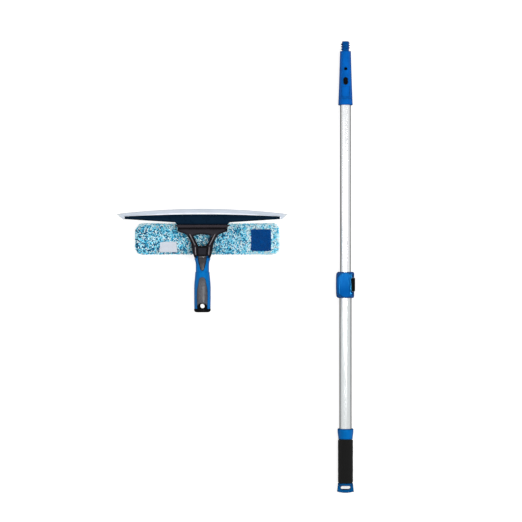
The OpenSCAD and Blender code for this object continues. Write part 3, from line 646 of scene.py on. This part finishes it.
def stitches(corners, height, count, radius):
    """Running stitches along a line of corners, each a short thread that dips at both ends."""
    corners = np.array(corners)
    legs = np.linalg.norm(np.diff(corners, axis=0), axis=1)
    reach = np.concatenate([[0], np.cumsum(legs)])
    made = []
    for i in range(count):
        path = []
        for share in np.linspace(0.12, 0.88, 5):
            at = (i + share) / count * reach[-1]
            x, y = (np.interp(at, reach, corners[:, j]) for j in (0, 1))
            arch = math.sin(math.pi * (share - 0.12) / 0.76)
            path.append((x, y, height(x, y) + radius * (1.1 * arch - 0.3)))
        made.append(one_tube(path, radius, 6))
    return joined(made)


pad_corners = [(middle[0] + sx * (half[0] - SEAM), middle[1] + sy * (half[1] - SEAM))
               for sx, sy in ((-1, -1), (1, -1), (1, 1), (-1, 1), (-1, -1))]
piece("scouring_stitches", *stitches(pad_corners, pad_height, 60, 0.22 * MM), stitch_blue, slot="scourer")
FIBRES = 900
fx, fy = rng.uniform(-0.94, 0.94, (2, FIBRES)) * half[:2, None] + middle[:2, None]
fibre_roots = np.stack([fx, fy, [pad_height(x, y) for x, y in zip(fx, fy)]], -1)
centres, radii, across = loops(
    fibre_roots, np.tile([0.0, 0.0, 1.0], (FIBRES, 1)), rng.uniform(2.0, 5.0, FIBRES) * MM,
    rng.uniform(0.15, 0.6, FIBRES) * MM, rng.uniform(0.09, 0.14, FIBRES) * MM)
piece("scouring_fibres", *tubes(centres, radii, across, 4), pad_fibre, slot="scourer")

# ---- Care label: a plain woven tab, sewn down along its sides

half_label = (label_high - label_low) / 2
label_middle = (label_high + label_low) / 2
LABEL_TAPER = 0.06  # the label is this much wider at its bottom edge, and narrower at its top
gx, gy = rounded_grid(half_label[0], half_label[1], 1.2 * MM, 56, 34)
label_x = label_middle[0] + gx * (1 - LABEL_TAPER * (gy / half_label[1]))
label_y = label_middle[1] + gy
droop = np.clip(-gy / half_label[1] - 0.72, 0, 1) ** 1.4
swell = fractal(gx, gy, 0.016, 1.0) * 0.45 * MM - 2.2 * MM * droop
label_top = label_high[2] + 0.5 * MM + swell
label = piece("label_tab", *slab(label_x, label_y, label_top, label_top - 0.45 * MM), label_cloth,
              slot="label_cloth")
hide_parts("care_label")


def label_height(x, y):
    return float(label_top.flat[int(np.argmin((label_x - x) ** 2 + (label_y - y) ** 2))])


sewn_x, sewn_y = half_label[:2] - 2 * MM
sewn = [(label_middle[0] + sx * sewn_x * (1 - LABEL_TAPER * sy), label_middle[1] + sy * sewn_y)
        for sx, sy in ((-1, -1), (-1, 1), (1, 1), (1, -1))]
piece("label_stitches", *stitches(sewn, label_height, 44, 0.18 * MM), stitch_white, slot="label_cloth")

# ---- Foam grip: a soft sleeve pulled over the tube

foam_low, foam_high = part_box("foam_grip")
foam_x, foam_z = (foam_low[0] + foam_high[0]) / 2, (foam_low[2] + foam_high[2]) / 2
foam_r = (foam_high[0] - foam_low[0]) / 2
tube_r = (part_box("outer_tube")[1][0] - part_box("outer_tube")[0][0]) / 2
foam_len = foam_high[1] - foam_low[1]
RINGS, SIDES = 92, 120
profile = [(tube_r + 0.05 * MM, 0.4 * MM)]
for i in range(RINGS):
    y = foam_len * i / (RINGS - 1)
    end = min(y, foam_len - y)
    profile.append((foam_r - 3.2 * MM * (1 - min(end / (3.0 * MM), 1)) ** 2.2, y))
profile.append((tube_r + 0.05 * MM, foam_len - 0.4 * MM))
ring_points = []
for r, y in profile:
    for k in range(SIDES):
        a = 2 * math.pi * k / SIDES
        dent = 0.0
        if r > tube_r + 0.5 * MM:
            spot = Vector((math.cos(a) * 2.2, math.sin(a) * 2.2, y * 90))
            dent = noise.fractal(spot, 1.0, 2.0, 3) * 0.16 * MM - 0.15 * MM
        ring_points.append((foam_x + (r + dent) * math.cos(a), foam_low[1] + y,
                            foam_z + (r + dent) * math.sin(a)))
rows = np.arange(len(profile))[:, None] * SIDES
cols = np.arange(SIDES)[None]
a, b = rows + cols, rows + (cols + 1) % SIDES
after = np.roll(np.arange(len(profile)), -1)
quads = np.stack([a, a[after], b[after], b], -1).reshape(-1, 4)
foam_piece = piece("foam_sleeve", ring_points, quads, foam_black, "pole", "foam")
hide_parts("foam_grip")

# ---- Springs: the CAD coils as true round wire


def spring(name, node, body, wire, turns):
    low, high = (np.array(v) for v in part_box(node))
    centre, r = (low + high) / 2, (high[0] - low[0]) / 2 - wire
    turn = np.linspace(0, turns, turns * 24 + 1)
    angle = 2 * np.pi * turn
    height = low[2] + wire + (high[2] - low[2] - 2 * wire) * turn / turns
    path = np.stack([centre[0] + r * np.cos(angle), centre[1] + r * np.sin(angle), height], -1)
    made = piece(name, *one_tube(path, wire, 8), steel, body, "zinc_steel")
    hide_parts(node)
    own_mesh(made)


spring("lock_spring", "lock_coil", "inner_pole", 0.4 * MM, 5)
spring("button_spring", "button_coil", "head", 0.35 * MM, 4)

# ---- Moulded bead round the thumb rests, where the two plastics meet

handle_surface = tree_of("handle_shell", "thumb_pads", "handle_core")


def bead_path(surface, outline, up):
    """Where an outline, in mm from the handle's end, meets a surface from above (up=1) or below (-1)."""
    path = []
    for x, y in outline:
        start = Vector((HEAD_X + x * MM, HEAD_Y + y * MM, HEAD_Z + up * 60 * MM))
        hit = surface.ray_cast(start, Vector((0, 0, -up)))[0]
        if hit is not None:
            path.append((hit.x, hit.y, hit.z))
    return path


def refined(corners, step=1.2):
    """A line of corners with a point about every step, in mm."""
    out = []
    for (x0, y0), (x1, y1) in zip(corners, corners[1:]):
        n = max(1, int(math.hypot(x1 - x0, y1 - y0) / step))
        out += [(x0 + (x1 - x0) * i / n, y0 + (y1 - y0) * i / n) for i in range(n)]
    return out + [corners[-1]]


left = [(-8.9, 113.0), (-7.5, 104.0), (-5.2, 96.0), (-3.3, 89.6)]
nose = [(3.3 * math.sin(a), 89.6 - 3.1 * math.cos(a)) for a in np.linspace(-1.35, 1.35, 9)]
right = [(-x, y) for x, y in reversed(left)]
thumb_rest = refined(left + nose + right)
beads = [one_tube(bead_path(handle_surface, thumb_rest, up), 0.55 * MM) for up in (1, -1)]
piece("thumb_beads", *joined(beads), black_gloss, slot="black_plastic")

# ---- Pale beads on the crests of the yoke's ribs as a painted highlight, and the eyelets of the hanging hole

yoke_surface = tree_of("yoke", "release_button")
arm_crest, neck_crest = [(14.9, 139.6), (26.6, 162.8)], [(13.4, 119.4), (14.6, 136.4)]
# painted highlight: pale beads along the rib crests
crest_highlights = [one_tube(bead_path(yoke_surface, refined([(side * x, y) for x, y in crest]), 1), 0.8 * MM)
          for side in (-1, 1) for crest in (arm_crest, neck_crest)]
piece("yoke_crests", *joined(crest_highlights), rib_grey, slot="black_plastic")
hole_r, hole_y = 5.7, 12.9
ring = [(hole_r * math.cos(a), hole_y + hole_r * math.sin(a)) for a in np.linspace(0, 2 * math.pi, 41)]
ring_surface = tree_of("end_ring")
eyelets = [one_tube(bead_path(ring_surface, ring, up), 0.7 * MM) for up in (1, -1)]
piece("eyelet_rims", *joined(eyelets), black_gloss, slot="black_plastic")

# ---- Dark dished disc at the bottom of the cone's accessory hole, as painted shade for the deep hole

dimple = [m for m in frame["record"]["mounts"] if m["name"] == "accessory_hole"][0]["pos_m"]
shade_disc_r = 3.15 * MM
gx, gy = rounded_grid(shade_disc_r, shade_disc_r, shade_disc_r, 17, 17)
cup = dimple[2] - 3.8 * MM + 0.9 * MM * (np.hypot(gx, gy) / shade_disc_r) ** 2
piece("dimple_plug", *slab(dimple[0] + gx, dimple[1] + gy, cup, np.full_like(gx, dimple[2] - 3.95 * MM)),
      black_gloss, "inner_pole", "black_plastic")

# ---- Floor, light and camera


def area_light(name, place, target, size, energy):
    data = bpy.data.lights.new(name, "AREA")
    data.shape, data.size, data.size_y, data.energy = "RECTANGLE", size[0], size[1], energy
    made = bpy.data.objects.new(name, data)
    made.location = place
    made.rotation_mode = "QUATERNION"
    made.rotation_quaternion = (Vector(target) - Vector(place)).to_track_quat("-Z", "Y")
    scene.collection.objects.link(made)
    return made


area_light("strip_right", (1.9, 0.1, 2.6), (0.1, 0, 0), (0.3, 3.2), 56).visible_glossy = False
area_light("strip_near", (0.85, 0.1, 3.0), (0.1, 0, 0), (0.07, 3.2), 14)
area_light("strip_left", (-1.7, 0.1, 3.0), (0, 0, 0), (0.4, 3.2), 14)
area_light("streak", (0.88, -0.09, 3.0), (0.1, -0.05, 0.03), (0.12, 0.24), 10).visible_diffuse = False


class Backdrop:
    """Node calls for the world and the floor, which look one way straight on and another in reflections."""

    def __init__(self, tree):
        self.tree = tree
        tree.nodes.clear()

    def node(self, kind, inputs=()):
        made = self.tree.nodes.new(kind)
        for key, value in dict(inputs).items():
            if isinstance(value, bpy.types.NodeSocket):
                self.tree.links.new(value, made.inputs[key])
            else:
                made.inputs[key].default_value = value
        return made

    def math(self, operation, a, b=0.0):
        made = self.node("ShaderNodeMath", {0: a, 1: b})
        made.operation = operation
        return made.outputs[0]

    def ramp(self, value, stops):
        """A grey ramp."""
        made = self.node("ShaderNodeValToRGB", {"Fac": value})
        elements = made.color_ramp.elements
        for element, (position, grey) in zip(elements, (stops[0], stops[-1])):
            element.position, element.color = position, (grey, grey, grey, 1)
        for position, grey in stops[1:-1]:
            elements.new(position).color = (grey, grey, grey, 1)
        return made.outputs["Color"]


world = bpy.data.worlds.new("studio")
scene.world = world
world.use_nodes = True
sky = Backdrop(world.node_tree)
up = sky.node("ShaderNodeSeparateXYZ", {0: sky.node("ShaderNodeTexCoord").outputs["Generated"]}).outputs["Z"]
mirrored = sky.node("ShaderNodeLightPath").outputs["Is Glossy Ray"]
light_ramp = sky.ramp(up, [(0.0, 0.2), (0.5, 0.62), (0.8, 0.95), (1.0, 1.0)])
mirror_ramp = sky.ramp(up, [(0.0, 0.92), (0.3, 1.0), (1.0, 1.0)])
room = sky.node("ShaderNodeBackground", {"Color": light_ramp})
mirror_room = sky.node("ShaderNodeBackground", {"Color": mirror_ramp})
both = sky.node("ShaderNodeMixShader", {0: mirrored, 1: room.outputs[0], 2: mirror_room.outputs[0]})
wall = sky.node("ShaderNodeBackground", {"Color": (0.9, 0.9, 0.9, 1)})
straight = sky.node("ShaderNodeLightPath").outputs["Is Camera Ray"]
view = sky.node("ShaderNodeMixShader", {0: straight, 1: both.outputs[0], 2: wall.outputs[0]})
sky.node("ShaderNodeOutputWorld", {"Surface": view.outputs[0]})

floor_mesh = bpy.data.meshes.new("floor")
FLOOR = 7.0
floor_mesh.from_pydata([(-FLOOR, -FLOOR, 0), (FLOOR, -FLOOR, 0), (FLOOR, FLOOR, 0), (-FLOOR, FLOOR, 0)],
                       [], [(0, 1, 2, 3)])
floor = bpy.data.objects.new("floor", floor_mesh)
floor.location.z = -0.2 * MM
scene.collection.objects.link(floor)
paper = bpy.data.materials.new("floor_paper")
paper.use_nodes = True
sheet = Backdrop(paper.node_tree)
ray = sheet.node("ShaderNodeLightPath").outputs
card = sheet.node("ShaderNodeBsdfDiffuse", {"Color": (0.42, 0.42, 0.42, 1)})
glow = sheet.node("ShaderNodeEmission", {"Color": (1, 1, 1, 1), "Strength": 0.7})
lit = sheet.node("ShaderNodeAddShader", {0: card.outputs[0], 1: glow.outputs[0]})
dim = sheet.node("ShaderNodeBsdfDiffuse", {"Color": (0.3, 0.3, 0.3, 1)})
# in reflections the floor is dark close beside the object, as in its contact shadow, and pale further out
place = sheet.node("ShaderNodeTexCoord").outputs["Object"]
across = sheet.node("ShaderNodeSeparateXYZ", {0: place}).outputs["X"]
shares = []
for middle_x, near, far in ((POLE_X, 0.045, 0.075), (HEAD_X, 0.05, 0.11)):
    away = sheet.math("ABSOLUTE", sheet.math("SUBTRACT", across, middle_x))
    limits = {"Value": away, "From Min": near, "From Max": far}
    shares.append(sheet.node("ShaderNodeMapRange", limits).outputs[0])
nearest = sheet.math("MINIMUM", *shares)
mirror = sheet.node("ShaderNodeEmission", {"Color": sheet.ramp(nearest, [(0.0, 0.03), (1.0, 0.8)])})
unseen = sheet.node("ShaderNodeMixShader", {0: ray["Is Glossy Ray"], 1: dim.outputs[0], 2: mirror.outputs[0]})
whole = sheet.node("ShaderNodeMixShader", {0: ray["Is Camera Ray"], 1: unseen.outputs[0], 2: lit.outputs[0]})
sheet.node("ShaderNodeOutputMaterial", {"Surface": whole.outputs[0]})
floor_mesh.materials.append(paper)

CENTRE = (0.0514, 0.0125)  # of the picture
FIELD, FIELD_Z = 1.09, 0.03  # width that the camera sees, at this height
camera_data = bpy.data.cameras.new("camera")
camera_data.lens, camera_data.sensor_width = 150, 36
camera = bpy.data.objects.new("camera", camera_data)
camera.location = (*CENTRE, FIELD_Z + FIELD * camera_data.lens / camera_data.sensor_width)
camera_data.clip_end = 50
scene.collection.objects.link(camera)
scene.camera = camera
scene.view_settings.view_transform = "Standard"
scene.view_settings.look = "None"
